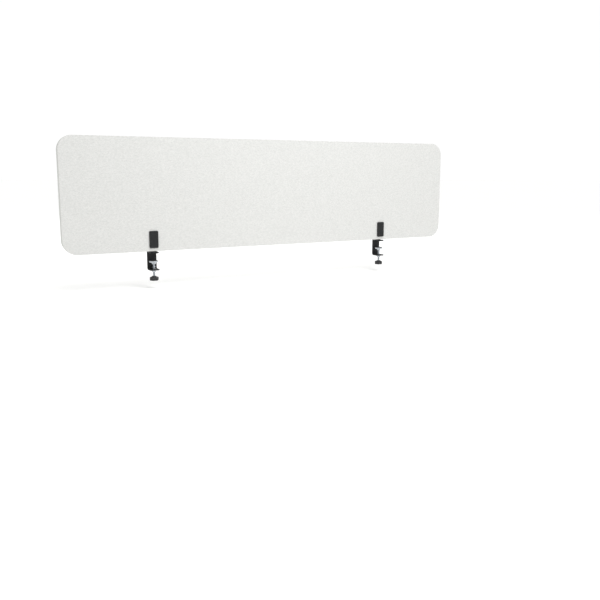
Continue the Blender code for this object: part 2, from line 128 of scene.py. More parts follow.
def needledFelt():
    f = feltFinish
    values = {"Roughness": 0.95, "IOR": 1.46, "Specular IOR Level": 0.25, "Sheen Weight": 0.12,
              "Sheen Roughness": 0.6}
    material, tree, shader = startMaterial("needledFelt", values)
    where = addNode(tree, "ShaderNodeTexCoord")
    place = where.outputs["Object"]
    greyLines = fibreLines(tree, place, f["greyTurns"], f)
    whiteLines = fibreLines(tree, place, f["whiteTurns"], f)
    tuft = {"Vector": place, "Scale": (f["marlingRun"], f["marling"], f["marling"])}
    tuft = addNode(tree, "ShaderNodeMapping", tuft, vector_type="TEXTURE")
    tufts = {"Vector": tuft, "Scale": 1.0, "Detail": 2.0, "Roughness": 0.5}
    marling = addNode(tree, "ShaderNodeTexNoise", tufts)
    needle = {"Vector": place, "Scale": 1 / f["needleMark"], "Detail": 1.0}
    needle = addNode(tree, "ShaderNodeTexNoise", needle)
    run = {"Vector": place, "Scale": (f["layerRun"], f["layer"], f["layerRun"])}
    stretched = addNode(tree, "ShaderNodeMapping", run, vector_type="TEXTURE")
    layers = addNode(tree, "ShaderNodeTexNoise", {"Vector": stretched, "Scale": 1.0, "Detail": 3.0})
    facing = addNode(tree, "ShaderNodeSeparateXYZ", {0: where.outputs["Normal"]}).outputs["Y"]
    facing = addNode(tree, "ShaderNodeMath", {0: facing}, operation="ABSOLUTE")
    edge = addNode(tree, "ShaderNodeMapRange", {"Value": facing, "From Min": 0.35, "From Max": 0.8,
                                                "To Min": 0.8, "To Max": 0.0})
    grey = linearColour(f["grey"])
    colour = addNode(tree, "ShaderNodeRGB").outputs[0]
    colour.default_value = linearColour(f["fleece"])
    white = linearColour(f["white"])
    for pattern, low, high, share, tint in (
            (marling, 0.36, 0.64, f["marlingShare"], grey), (greyLines, 0.0, 1.0, f["greyShare"], grey),
            (whiteLines, 0.0, 1.0, f["whiteShare"], white)):
        factor = {"Value": pattern, "From Min": low, "From Max": high, "To Max": share}
        factor = addNode(tree, "ShaderNodeMapRange", factor)
        colour = addNode(tree, "ShaderNodeMix", {0: factor, 6: colour, 7: tint}, data_type="RGBA")
    factor = {"Value": layers, "From Min": 0.3, "From Max": 0.7, "To Max": 0.45}
    factor = addNode(tree, "ShaderNodeMapRange", factor)
    cut = addNode(tree, "ShaderNodeMix", {0: factor, 6: linearColour(f["edge"]), 7: grey}, data_type="RGBA")
    colour = addNode(tree, "ShaderNodeMix", {0: edge, 6: colour, 7: cut}, data_type="RGBA")
    layers = addNode(tree, "ShaderNodeMath", {0: layers, 1: edge}, operation="MULTIPLY")
    height = needle
    for pattern, share in ((marling, 0.8), (greyLines, 0.35), (whiteLines, 0.35), (layers, 2.0)):
        height = addNode(tree, "ShaderNodeMath", {0: pattern, 1: share, 2: height}, operation="MULTIPLY_ADD")
    bump = addNode(tree, "ShaderNodeBump", {"Height": height, "Strength": 0.55, "Distance": f["relief"]})
    linkShader(tree, shader, colour, None, bump)
    return material


# colour drifts between two shades in patches, while a finer grain changes the gloss and lifts the surface
def grainedSkin(name, f, values):
    material, tree, shader = startMaterial(name, values)
    place = addNode(tree, "ShaderNodeTexCoord").outputs["Object"]
    patch = addNode(tree, "ShaderNodeTexNoise", {"Vector": place, "Scale": 1 / f["patch"], "Detail": 3.0})
    stretched = [f["grain"] * stretch for stretch in f.get("stretch", (1, 1, 1))]
    stretched = {"Vector": place, "Scale": stretched}
    grainPlace = addNode(tree, "ShaderNodeMapping", stretched, vector_type="TEXTURE")
    kind = "ShaderNodeTexVoronoi" if f.get("pebbled") else "ShaderNodeTexNoise"
    grain = addNode(tree, kind, {"Vector": grainPlace, "Scale": 1.0})
    factor = addNode(tree, "ShaderNodeMapRange", {"Value": patch, "From Min": 0.35, "From Max": 0.7})
    colour = {0: factor, 6: linearColour(f["main"]), 7: linearColour(f["drift"])}
    colour = addNode(tree, "ShaderNodeMix", colour, data_type="RGBA")
    dull, gloss = f["roughness"]
    gloss = {"Value": grain, "From Min": 0.2, "From Max": 0.75, "To Min": dull, "To Max": gloss}
    gloss = addNode(tree, "ShaderNodeMapRange", gloss)
    height = addNode(tree, "ShaderNodeMath", {0: patch, 1: 0.4, 2: grain}, operation="MULTIPLY_ADD")
    bump = addNode(tree, "ShaderNodeBump", {"Height": height, "Strength": 0.6, "Distance": f["relief"]})
    linkShader(tree, shader, colour, gloss, bump)
    return material


# Polyester powder coat, charcoal, fine texture: the cured grains melt into a matt, slightly pebbled skin
# that breaks highlights up. The grains are drawn at 0.7 mm, about twice their size, so that they show.
coatFinish = {"main": "#141516", "drift": "#1C1D1E", "patch": 6 * mm, "grain": 0.7 * mm,
              "roughness": (0.5, 0.68), "relief": 0.035 * mm}


def charcoalPowderCoat():
    return grainedSkin("charcoalPowderCoat", coatFinish, {"IOR": 1.5, "Specular IOR Level": 0.35})


# Bright zinc plate on turned steel: bluish silver, clouded where the bath was uneven, with fine tool marks
# round each piece that spread the highlights.
zincFinish = {"main": "#C6CACE", "drift": "#ADB2B7", "patch": 5 * mm, "grain": 0.25 * mm,
              "stretch": (30, 30, 1), "roughness": (0.24, 0.36), "relief": 0.012 * mm}


def brightZincPlate():
    return grainedSkin("brightZincPlate", zincFinish, {"Metallic": 1.0})


# Black oxide on alloy steel: a dark oiled skin with a satin gleam and greyer rubbed patches.
oxideFinish = {"main": "#2B2C2F", "drift": "#47484B", "patch": 1.6 * mm, "grain": 0.3 * mm,
               "roughness": (0.3, 0.44), "relief": 0.008 * mm}


def blackOxideSteel():
    return grainedSkin("blackOxideSteel", oxideFinish, {"Metallic": 1.0})


# Phosphated spring steel for the snap rings: dark, even and dull.
springFinish = {"main": "#3A3A3B", "drift": "#4C4C4D", "patch": 2 * mm, "grain": 0.3 * mm,
                "roughness": (0.42, 0.55), "relief": 0.008 * mm}


def phosphatedSpringSteel():
    return grainedSkin("phosphatedSpringSteel", springFinish, {"Metallic": 1.0})


# Moulded nitrile rubber: near black and dull, with a faint grey bloom.
rubberFinish = {"main": "#171717", "drift": "#272726", "patch": 3 * mm, "grain": 0.5 * mm,
                "roughness": (0.7, 0.86), "relief": 0.03 * mm}


def nitrileRubber():
    return grainedSkin("nitrileRubber", rubberFinish, {"IOR": 1.52, "Specular IOR Level": 0.3})


# Glass-filled nylon from a spark-eroded mould: black, with an even fine pebble. The pebble is drawn at
# 0.6 mm, about three times its size, so that it shows.
nylonFinish = {"main": "#1B1B1C", "drift": "#272728", "patch": 7 * mm, "grain": 0.6 * mm, "pebbled": True,
               "roughness": (0.42, 0.6), "relief": 0.03 * mm}


def glassFilledNylon():
    return grainedSkin("glassFilledNylon", nylonFinish, {"IOR": 1.53, "Specular IOR Level": 0.45})


felt, coat, zinc, oxide = needledFelt(), charcoalPowderCoat(), brightZincPlate(), blackOxideSteel()
spring, rubber, nylon = phosphatedSpringSteel(), nitrileRubber(), glassFilledNylon()
print("finishes ready")


def arc(x, y, radius, start, end, steps):
    angles = [math.radians(start + (end - start) * i / steps) for i in range(steps + 1)]
    return [(x + radius * math.cos(a), y + radius * math.sin(a)) for a in angles]


def circle(x, y, radius, steps=32):
    return arc(x, y, radius, 0, 360, steps)[:-1]


def roundedOutline(width, height, topRadius, bottomRadius, steps):
    points = []
    for turn, right, up, radius in ((0, 1, 1, topRadius), (90, -1, 1, topRadius),
                                    (180, -1, -1, bottomRadius), (270, 1, -1, bottomRadius)):
        x, y = right * (width / 2 - radius), up * (height / 2 - radius)
        points += arc(x, y, radius, turn, turn + 90, steps)
    return points


def cleanMesh(mesh):
    body = bmesh.new()
    body.from_mesh(mesh)
    bmesh.ops.remove_doubles(body, verts=body.verts, dist=tiny)
    bmesh.ops.recalc_face_normals(body, faces=body.faces)
    body.to_mesh(mesh)
    body.free()
    mesh.materials.clear()
    return mesh


def evaluated(thing):
    return bpy.data.meshes.new_from_object(thing.evaluated_get(bpy.context.evaluated_depsgraph_get()))


def holderOf(data):
    holder = bpy.data.objects.new("holder", data)
    bpy.context.scene.collection.objects.link(holder)
    return holder


# a closed slab with soft edges, lying on the XY plane round its own middle; later loops are holes
def slab(loops, thickness, edge, edgeSteps=3):
    curve = bpy.data.curves.new("outline", "CURVE")
    curve.dimensions = "2D"
    curve.fill_mode = "BOTH"
    curve.extrude = thickness / 2 - edge
    curve.bevel_depth = edge
    curve.bevel_resolution = edgeSteps - 1
    curve.offset = -edge
    for loop in loops:
        spline = curve.splines.new("POLY")
        spline.points.add(len(loop) - 1)
        spline.use_cyclic_u = True
        for point, (x, y) in zip(spline.points, loop):
            point.co = (x, y, 0, 1)
    outline = holderOf(curve)
    mesh = evaluated(outline)
    bpy.data.objects.remove(outline)
    bpy.data.curves.remove(curve)
    return cleanMesh(mesh)


# joins rings of points into one closed skin; a ring of one point is a pole
def skin(rings, closed=False):
    points, starts, faces = [], [], []
    for ring in rings:
        starts.append(len(points))
        points += ring
    pairs = list(zip(rings, rings[1:], starts, starts[1:]))
    if closed:
        pairs.append((rings[-1], rings[0], starts[-1], starts[0]))
    for first, second, a, b in pairs:
        for i in range(max(len(first), len(second))):
            here, there = i % len(first), (i + 1) % len(first)
            face = [a + here, a + there, b + (i + 1) % len(second), b + i % len(second)]
            faces.append(list(dict.fromkeys(face)))
    mesh = bpy.data.meshes.new("skin")
    mesh.from_pydata(points, [], faces)
    return cleanMesh(mesh)


# a (radius, height) profile turned round the Z axis; closed joins its last point to its first
def turned(profile, steps=64, closed=False):
    rings = []
    for radius, z in profile:
        turns = [math.tau * i / steps for i in range(steps)] if radius else [0]
        rings.append([(radius * math.cos(a), radius * math.sin(a), z) for a in turns])
    return skin(rings, closed)


# each inner corner of a profile becomes a short arc, which takes two fifths of either side at most
def softProfile(profile, radius, steps=3):
    soft = [profile[0]]
    for before, here, after in zip(profile, profile[1:], profile[2:]):
        p, q, r = Vector(before), Vector(here), Vector(after)
        reach = min(radius, (p - q).length / 2.5, (r - q).length / 2.5)
        start, end = q + (p - q).normalized() * reach, q + (r - q).normalized() * reach
        for t in [i / steps for i in range(steps + 1)]:
            soft.append(tuple(start * (1 - t) ** 2 + q * 2 * t * (1 - t) + end * t * t))
    return soft + [profile[-1]]


def cutAway(mesh, toolMesh):
    holder, tool = holderOf(mesh), holderOf(toolMesh)
    modifier = holder.modifiers.new("cut", "BOOLEAN")
    modifier.operation, modifier.solver, modifier.object = "DIFFERENCE", "EXACT", tool
    made = evaluated(holder)
    bpy.data.objects.remove(holder)
    bpy.data.objects.remove(tool)
    return made


# a geometry tree with named inputs; returns the tree and its input sockets
def startTree(name, sizes):
    tree = bpy.data.node_groups.new(name, "GeometryNodeTree")
    tree.interface.new_socket("Geometry", in_out="INPUT", socket_type="NodeSocketGeometry")
    for size in sizes:
        tree.interface.new_socket(size, in_out="INPUT", socket_type="NodeSocketFloat")
    tree.interface.new_socket("Material", in_out="INPUT", socket_type="NodeSocketMaterial")
    tree.interface.new_socket("Geometry", in_out="OUTPUT", socket_type="NodeSocketGeometry")
    return tree, addNode(tree, "NodeGroupInput").outputs


def endTree(tree, geometry, given):
    real = addNode(tree, "GeometryNodeRealizeInstances", {0: geometry})
    painted = addNode(tree, "GeometryNodeSetMaterial", {"Geometry": real, "Material": given["Material"]})
    addNode(tree, "NodeGroupOutput", {0: painted})
    return tree


# runs a geometry tree on a mesh and gives back a plain mesh
def grow(mesh, tree, sizes, material):
    holder = holderOf(mesh)
    modifier = holder.modifiers.new("grow", "NODES")
    modifier.node_group = tree
    for item in tree.interface.items_tree:
        if item.in_out == "INPUT" and item.name in sizes:
            modifier[item.identifier] = float(sizes[item.name])
        elif item.in_out == "INPUT" and item.name == "Material":
            modifier[item.identifier] = material
    made = evaluated(holder)
    holder.modifiers.remove(modifier)
    bpy.data.objects.remove(holder)
    return made


# the last step for every piece: finish, smooth shading, body and the nodes that it stands for
def addPiece(name, mesh, material, body, nodes, sharp=35):
    mesh.name = name
    mesh.materials.clear()
    mesh.materials.append(material)
    mesh.shade_smooth()
    mesh.set_sharp_from_angle(angle=math.radians(sharp))
    piece = holderOf(mesh)
    piece.name = name
    weighted = piece.modifiers.new("evenShading", "WEIGHTED_NORMAL")
    weighted.keep_sharp = True
    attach(piece, body)
    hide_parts(*nodes)
    return piece


def middleOf(node):
    low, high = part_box(node)
    return (low + high) / 2


# moves a mesh that was made round the Z axis onto a node's upright axis; its heights stay
def setOnAxis(mesh, node):
    middle = middleOf(node)
    mesh.transform(Matrix.Translation((middle.x, middle.y, 0)))


standing = Matrix.Rotation(math.radians(90), 4, "X")

# two felt boards pressed together make the screen; the holes are the standoffs'
boardShape = {"corner": 50 * mm, "cornerSteps": 32, "edge": 0.9 * mm, "hole": 4.3 * mm}


def feltBoard(node):
    low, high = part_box(node)
    middle, size = (low + high) / 2, high - low
    corner = boardShape["corner"]
    loops = [roundedOutline(size.x, size.z, corner, corner, boardShape["cornerSteps"])]
    for side in sides:
        for level in levels:
            at = middleOf(f"{side}_{level}_standoff") - middle
            loops.append(circle(at.x, at.z, boardShape["hole"]))
    mesh = slab(loops, size.y, boardShape["edge"])
    mesh.transform(Matrix.Translation(middle) @ standing)
    addPiece(node.replace("board", "panel"), mesh, felt, "screen", [node])


for node in ("front_felt_board", "rear_felt_board"):
    feltBoard(node)
print("felt boards built")

# a stamped plate with a rounded rim, pocketed behind for the standoffs' heads
plateShape = {"corner": 4 * mm, "cornerSteps": 10, "edge": 0.8 * mm, "edgeSteps": 4, "play": 0.3 * mm}


def frontPlate(side):
    node = f"{side}_front_plate"
    low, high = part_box(node)
    middle, size = (low + high) / 2, high - low
    corner, play = plateShape["corner"], plateShape["play"]
    outline = roundedOutline(size.x, size.z, corner, corner, plateShape["cornerSteps"])
    mesh = slab([outline], size.y, plateShape["edge"], plateShape["edgeSteps"])
    mesh.transform(Matrix.Translation(middle) @ standing)
    for level in levels:
        headLow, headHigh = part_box(f"{side}_{level}_standoff")
        radius = (headHigh.x - headLow.x) / 2 + play
        depth = 2 * (high.y - headLow.y + play)
        pocket = turned([(0, 0), (radius, 0), (radius, depth), (0, depth)])
        seat = (middle.x, headLow.y - play + depth, (headLow.z + headHigh.z) / 2)
        pocket.transform(Matrix.Translation(seat) @ standing)
        mesh = cutAway(mesh, pocket)
    addPiece(f"{side}_front_cover", mesh, coat, "screen", [node])


# steel strip that lies forward and is bent up into a leg; cut flat first and bent after, as in the press
jawShape = {"thickness": 3 * mm, "bend": 2.5 * mm, "tip": 4 * mm, "top": 4 * mm}
bracketShape = {"thickness": 4 * mm, "bend": 5 * mm, "tip": 8 * mm, "top": 4 * mm}
stripShape = {"edge": 0.5 * mm, "cornerSteps": 10, "bendSteps": 12, "boltHole": 2.8 * mm,
              "threadHole": 4.3 * mm}


def bentStrip(node, shape, boltHeights, armHole=None):
    low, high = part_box(node)
    thickness, bend, steps = shape["thickness"], shape["bend"], stripShape["bendSteps"]
    bendY, bendZ = high.y - thickness - bend, low.z + thickness + bend  # the bend's centre
    arm, curl = bendY - low.y, (bend + thickness / 2) * math.pi / 2
    length = arm + curl + high.z - bendZ
    loops = [roundedOutline(high.x - low.x, length, shape["top"], shape["tip"], stripShape["cornerSteps"])]
    for height in boltHeights:
        loops.append(circle(0, arm + curl + height - bendZ - length / 2, stripShape["boltHole"]))
    if armHole:
        loops.append(circle(0, armHole - low.y - length / 2, stripShape["threadHole"]))
    body = bmesh.new()
    body.from_mesh(slab(loops, thickness, stripShape["edge"]))
    for step in range(steps + 1):
        cut = (0, arm + curl * step / steps - length / 2, 0)
        everything = body.verts[:] + body.edges[:] + body.faces[:]
        bmesh.ops.bisect_plane(body, geom=everything, dist=tiny, plane_co=cut, plane_no=(0, 1, 0))
    for vert in body.verts:
        along, up = vert.co.y + length / 2, vert.co.z + thickness / 2
        if along <= arm:
            y, z = low.y + along, low.z + up
        elif along >= arm + curl:
            y, z = high.y - up, bendZ + along - arm - curl
        else:
            turn = (along - arm) / curl * math.pi / 2
            y = bendY + (bend + thickness - up) * math.sin(turn)
            z = bendZ - (bend + thickness - up) * math.cos(turn)
        vert.co = ((low.x + high.x) / 2 + vert.co.x, y, z)
    mesh = bpy.data.meshes.new("strip")
    body.to_mesh(mesh)
    body.free()
    return cleanMesh(mesh)


def clampStrips(side):
    heights = [middleOf(f"{side}_{level}_standoff").z for level in levels]
    jaw, bracket = f"{side}_jaw_plate", f"{side}_rear_bracket"
    mesh = bentStrip(jaw, jawShape, heights)
    addPiece(f"{side}_upper_jaw", mesh, coat, "screen", [jaw])
    mesh = bentStrip(bracket, bracketShape, heights, middleOf(f"{side}_spindle").y)
    addPiece(f"{side}_rear_arm", mesh, coat, "screen", [bracket])


# moulded pad with shallow cross grooves in the face that grips the desktop
padShape = {"corner": 3 * mm, "cornerSteps": 6, "edge": 0.35 * mm}
padGrooves = {"Groove Count": 5, "Groove Pitch": 4.2 * mm, "Groove Width": 1.1 * mm,
              "Groove Depth": 0.4 * mm}


def grooveTree():
    tree, given = startTree("padGrooves", list(padGrooves) + ["Pad Width", "Pad Thickness"])
    span = addNode(tree, "ShaderNodeMath", {0: given["Groove Count"], 1: -1.0}, operation="ADD")
    half = addNode(tree, "ShaderNodeMath", {0: span, 1: given["Groove Pitch"]}, operation="MULTIPLY")
    start = addNode(tree, "ShaderNodeMath", {0: half, 1: -0.5}, operation="MULTIPLY")
    face = addNode(tree, "ShaderNodeMath", {0: given["Pad Thickness"], 1: -0.5}, operation="MULTIPLY")
    first = addNode(tree, "ShaderNodeCombineXYZ", {"Y": start, "Z": face})
    step = addNode(tree, "ShaderNodeCombineXYZ", {"Y": given["Groove Pitch"]})
    row = {"Count": given["Groove Count"], "Start Location": first, "Offset": step}
    row = addNode(tree, "GeometryNodeMeshLine", row)
    depth = addNode(tree, "ShaderNodeMath", {0: given["Groove Depth"], 1: 2.0}, operation="MULTIPLY")
    size = {"X": given["Pad Width"], "Y": given["Groove Width"], "Z": depth}
    size = addNode(tree, "ShaderNodeCombineXYZ", size)
    bar = addNode(tree, "GeometryNodeMeshCube", {"Size": size})
    bars = addNode(tree, "GeometryNodeInstanceOnPoints", {"Points": row, "Instance": bar})
    bars = addNode(tree, "GeometryNodeRealizeInstances", {0: bars})
    cut = addNode(tree, "GeometryNodeMeshBoolean", {"Mesh 1": given["Geometry"], "Mesh 2": bars},
                  operation="DIFFERENCE", solver="EXACT")
    return endTree(tree, cut, given)


def jawPad(side, tree):
    node = f"{side}_jaw_pad"
    low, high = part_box(node)
    size = high - low
    corner = padShape["corner"]
    outline = roundedOutline(size.x, size.y, corner, corner, padShape["cornerSteps"])
    mesh = slab([outline], size.z, padShape["edge"])
    sizes = dict(padGrooves, **{"Pad Width": 2 * size.x, "Pad Thickness": size.z})
    mesh = grow(mesh, tree, sizes, rubber)
    mesh.transform(Matrix.Translation((low + high) / 2))
    addPiece(f"{side}_jaw_cushion", mesh, rubber, "screen", [node])


# hexagon nut with a chamfered bore; each outer ring is the hexagon, turned down where its corners are cut
nutShape = {"acrossFlats": 13 * mm, "bore": 4.3 * mm, "chamfer": 0.7 * mm, "cornerTurn": 30,
            "land": 0.2 * mm, "steps": 72, "chamferRings": 6}


def hexNut(side):
    node = f"{side}_clamp_nut"
    low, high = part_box(node)
    f = nutShape
    flat, bore, chamfer, land = f["acrossFlats"] / 2, f["bore"], f["chamfer"], f["land"]
    slope, sixth = math.tan(math.radians(f["cornerTurn"])), math.tau / 6
    drop = (flat / math.cos(sixth / 2) - flat + land) * slope
    falls = [drop * i / f["chamferRings"] for i in range(f["chamferRings"] + 1)]
    turns = [math.tau * i / f["steps"] for i in range(f["steps"])]
    rings = []
    for z in [high.z - fall for fall in falls] + [low.z + fall for fall in reversed(falls)]:
        limit = flat - land + min(high.z - z, z - low.z) / slope
        radii = [min(flat / math.cos((a + sixth / 2) % sixth - sixth / 2), limit) for a in turns]
        rings.append([(r * math.cos(a), r * math.sin(a), z) for r, a in zip(radii, turns)])
    mouth = bore + chamfer
    for r, z in ((mouth, low.z), (bore, low.z + chamfer), (bore, high.z - chamfer), (mouth, high.z)):
        rings.append([(r * math.cos(a), r * math.sin(a), z) for a in turns])
    mesh = skin(rings, closed=True)
    setOnAxis(mesh, node)
    addPiece(f"{side}_hex_nut", mesh, zinc, "screen", [node], sharp=25)


# turned steel foot that swivels on the screw's pin, with a rimmed seat for its rubber pad
footShape = {"rimWall": 1.5 * mm, "rimRise": 1.8 * mm, "web": 3.5 * mm, "hub": 7.1 * mm, "hole": 3.1 * mm,
             "pocket": 5.6 * mm, "pocketDepth": 2 * mm, "fillet": 2 * mm, "edge": 0.6 * mm, "steps": 72}


def pressureFoot(side):
    f, node = footShape, f"{side}_pressure_foot"
    low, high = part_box(node)
    rim = (high.x - low.x) / 2
    seat = high.z - f["rimRise"]
    under, inner, pocket = seat - f["web"], rim - f["rimWall"], seat - f["pocketDepth"]
    profile = [(inner, seat), (inner, high.z), (rim, high.z), (rim, under), (f["hub"] + f["fillet"], under),
               (f["hub"], under - f["fillet"]), (f["hub"], low.z), (f["hole"], low.z), (f["hole"], pocket),
               (f["pocket"], pocket), (f["pocket"], seat)]
    profile = softProfile(profile, f["edge"])
    mesh = turned(profile, f["steps"], closed=True)
    setOnAxis(mesh, node)
    addPiece(f"{side}_swivel_foot", mesh, zinc, f"{side}_foot", [node])


# round rubber pad with two rings moulded into the face that meets the desktop
footPadShape = {"edge": 0.5 * mm, "rings": (4.6 * mm, 9 * mm), "ringWidth": 1.4 * mm,
                "ringDepth": 0.5 * mm, "steps": 72}


def footPad(side):
    f, node = footPadShape, f"{side}_foot_pad"
    low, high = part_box(node)
    radius, half = (high.x - low.x) / 2, f["ringWidth"] / 2
    profile = [(0, high.z)]
    for ring in f["rings"]:
        sunk = high.z - f["ringDepth"]
        profile += [(ring - half, high.z), (ring - half / 2, sunk)]
        profile += [(ring + half / 2, sunk), (ring + half, high.z)]
    profile += [(radius, high.z), (radius, low.z), (0, low.z)]
    mesh = turned(softProfile(profile, f["edge"]), f["steps"])
    setOnAxis(mesh, node)
    addPiece(f"{side}_foot_cushion", mesh, rubber, f"{side}_foot", [node])


# clamp screw: a plain grooved pin above the shoulder, and a rolled M8 thread below it
spindleShape = {"thread": 4 * mm, "pin": 2.8 * mm, "groove": 2.2 * mm, "chamfer": 0.7 * mm,
                "grooveFloor": 2 * mm, "grooveWidth": 1.4 * mm, "shoulder": 9.8 * mm,
                "edge": 0.3 * mm, "steps": 32, "rowsPerPitch": 10}
threadSizes = {"Pitch": 1.25 * mm, "Depth": 0.7 * mm, "Run Out": 1.2 * mm}


# pushes the rod's skin in along a right-hand helix, fading out near the thread's two ends
def threadTree():
    tree, given = startTree("rolledThread", list(threadSizes) + ["Radius", "Top", "Bottom"])
    place = addNode(tree, "ShaderNodeSeparateXYZ", {0: addNode(tree, "GeometryNodeInputPosition")}).outputs
    turn = addNode(tree, "ShaderNodeMath", {0: place["Y"], 1: place["X"]}, operation="ARCTAN2")
    rise = addNode(tree, "ShaderNodeMath", {0: place["Z"], 1: given["Pitch"]}, operation="DIVIDE")
    rise = addNode(tree, "ShaderNodeMath", {0: rise, 1: math.tau}, operation="MULTIPLY")
    phase = addNode(tree, "ShaderNodeMath", {0: rise, 1: turn}, operation="SUBTRACT")
    wave = addNode(tree, "ShaderNodeMath", {0: phase}, operation="COSINE")
    wave = addNode(tree, "ShaderNodeMapRange", {"Value": wave, "From Min": -0.9, "From Max": 0.9,
                                                "To Min": 1.0, "To Max": 0.0})
    above = addNode(tree, "ShaderNodeMath", {0: place["Z"], 1: given["Bottom"]}, operation="SUBTRACT")
    below = addNode(tree, "ShaderNodeMath", {0: given["Top"], 1: place["Z"]}, operation="SUBTRACT")
    inside = addNode(tree, "ShaderNodeMath", {0: above, 1: below}, operation="MINIMUM")
    fade = addNode(tree, "ShaderNodeMapRange", {"Value": inside, "From Max": given["Run Out"]})
    depth = addNode(tree, "ShaderNodeMath", {0: given["Depth"], 1: given["Radius"]}, operation="DIVIDE")
    depth = addNode(tree, "ShaderNodeMath", {0: depth, 1: wave}, operation="MULTIPLY")
    depth = addNode(tree, "ShaderNodeMath", {0: depth, 1: fade}, operation="MULTIPLY")
    keep = addNode(tree, "ShaderNodeMath", {0: 1.0, 1: depth}, operation="SUBTRACT")
    x = addNode(tree, "ShaderNodeMath", {0: place["X"], 1: keep}, operation="MULTIPLY")
    y = addNode(tree, "ShaderNodeMath", {0: place["Y"], 1: keep}, operation="MULTIPLY")
    moved = addNode(tree, "ShaderNodeCombineXYZ", {"X": x, "Y": y, "Z": place["Z"]})
    cut = addNode(tree, "GeometryNodeSetPosition", {"Geometry": given["Geometry"], "Position": moved})
    return endTree(tree, cut, given)


def spindle(side, tree):
    f, node = spindleShape, f"{side}_spindle"
    low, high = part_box(node)
    shoulder, thread, chamfer = high.z - f["shoulder"], f["thread"], f["chamfer"]
    top, bottom = shoulder - chamfer, low.z + chamfer
    rows = round((top - bottom) / threadSizes["Pitch"] * f["rowsPerPitch"])
    floor = high.z - f["grooveFloor"]
    roof = floor + f["grooveWidth"]
    pin = [(0, high.z), (f["pin"], high.z), (f["pin"], roof), (f["groove"], roof),
           (f["groove"], floor), (f["pin"], floor), (f["pin"], shoulder)]
    profile = softProfile(pin, f["edge"]) + [(thread - chamfer, shoulder)]
    profile += [(thread, top + (bottom - top) * i / rows) for i in range(rows + 1)]
    profile += [(thread - chamfer, low.z), (0, low.z)]
    sizes = dict(threadSizes, **{"Radius": thread, "Top": top, "Bottom": bottom})
    mesh = grow(turned(profile, f["steps"]), tree, sizes, zinc)
    setOnAxis(mesh, node)
    addPiece(f"{side}_clamp_spindle", mesh, zinc, f"{side}_clamp_screw", [node])


# moulded hand knob: six lobes round a plain hub, a collar above and a dished underside
knobShape = {"collar": 8 * mm, "collarRise": 3 * mm, "bore": 4.3 * mm, "boreDepth": 12.3 * mm,
             "dish": 7.6 * mm, "dishDepth": 0.9 * mm, "edge": 2.4 * mm, "smallEdge": 0.6 * mm,
             "edgeSteps": 6, "steps": 120, "faceRings": 8}
knobLobes = {"Lobe Count": 6, "Lobe Depth": 2.4 * mm, "Hub Radius": 8.2 * mm, "Grip Radius": 16 * mm}


def lobeTree():
    tree, given = startTree("knobLobes", knobLobes)
    position = addNode(tree, "GeometryNodeInputPosition")
    place = addNode(tree, "ShaderNodeSeparateXYZ", {0: position}).outputs
    turn = addNode(tree, "ShaderNodeMath", {0: place["Y"], 1: place["X"]}, operation="ARCTAN2")
    wave = addNode(tree, "ShaderNodeMath", {0: turn, 1: given["Lobe Count"]}, operation="MULTIPLY")
    wave = addNode(tree, "ShaderNodeMath", {0: wave}, operation="COSINE")
    wave = addNode(tree, "ShaderNodeMapRange", {"Value": wave, "From Min": -1.0, "From Max": 1.0,
                                                "To Min": 1.0, "To Max": 0.0})
    level = addNode(tree, "ShaderNodeCombineXYZ", {"X": place["X"], "Y": place["Y"]})
    radius = addNode(tree, "ShaderNodeVectorMath", {0: level}, operation="LENGTH").outputs["Value"]
    reach = {"Value": radius, "From Min": given["Hub Radius"], "From Max": given["Grip Radius"]}
    reach = addNode(tree, "ShaderNodeMapRange", reach, interpolation_type="SMOOTHSTEP")
    depth = {0: given["Lobe Depth"], 1: given["Grip Radius"]}
    depth = addNode(tree, "ShaderNodeMath", depth, operation="DIVIDE")
    depth = addNode(tree, "ShaderNodeMath", {0: depth, 1: wave}, operation="MULTIPLY")
    depth = addNode(tree, "ShaderNodeMath", {0: depth, 1: reach}, operation="MULTIPLY")
    keep = addNode(tree, "ShaderNodeMath", {0: 1.0, 1: depth}, operation="SUBTRACT")
    x = addNode(tree, "ShaderNodeMath", {0: place["X"], 1: keep}, operation="MULTIPLY")
    y = addNode(tree, "ShaderNodeMath", {0: place["Y"], 1: keep}, operation="MULTIPLY")
    moved = addNode(tree, "ShaderNodeCombineXYZ", {"X": x, "Y": y, "Z": place["Z"]})
    shaped = addNode(tree, "GeometryNodeSetPosition", {"Geometry": given["Geometry"], "Position": moved})
    return endTree(tree, shaped, given)


def handKnob(side, tree):
    f, node = knobShape, f"{side}_knob"
    low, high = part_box(node)
    grip, body = knobLobes["Grip Radius"], high.z - f["collarRise"]
    edge, edgeSteps, rings = f["edge"], f["edgeSteps"], range(1, f["faceRings"])
    across = [f["collar"] + (grip - edge - f["collar"]) * i / f["faceRings"] for i in rings]
    bottom, dished = high.z - f["boreDepth"], low.z + f["dishDepth"]
    top = softProfile([(0, bottom), (f["bore"], bottom), (f["bore"], high.z), (f["collar"], high.z),
                       (f["collar"], body), (across[0], body)], f["smallEdge"])
    wall = [(r, body) for r in across[1:]] + arc(grip - edge, body - edge, edge, 90, 0, edgeSteps)
    wall += arc(grip - edge, low.z + edge, edge, 0, -90, edgeSteps) + [(r, low.z) for r in reversed(across)]
    under = softProfile([(across[0], low.z), (f["dish"], low.z), (f["dish"] - f["dishDepth"], dished),
                         (0, dished)], f["smallEdge"])
    mesh = grow(turned(top + wall + under[1:], f["steps"]), tree, knobLobes, nylon)
    setOnAxis(mesh, f"{side}_spindle")
    addPiece(f"{side}_hand_knob", mesh, nylon, f"{side}_clamp_screw", [node])


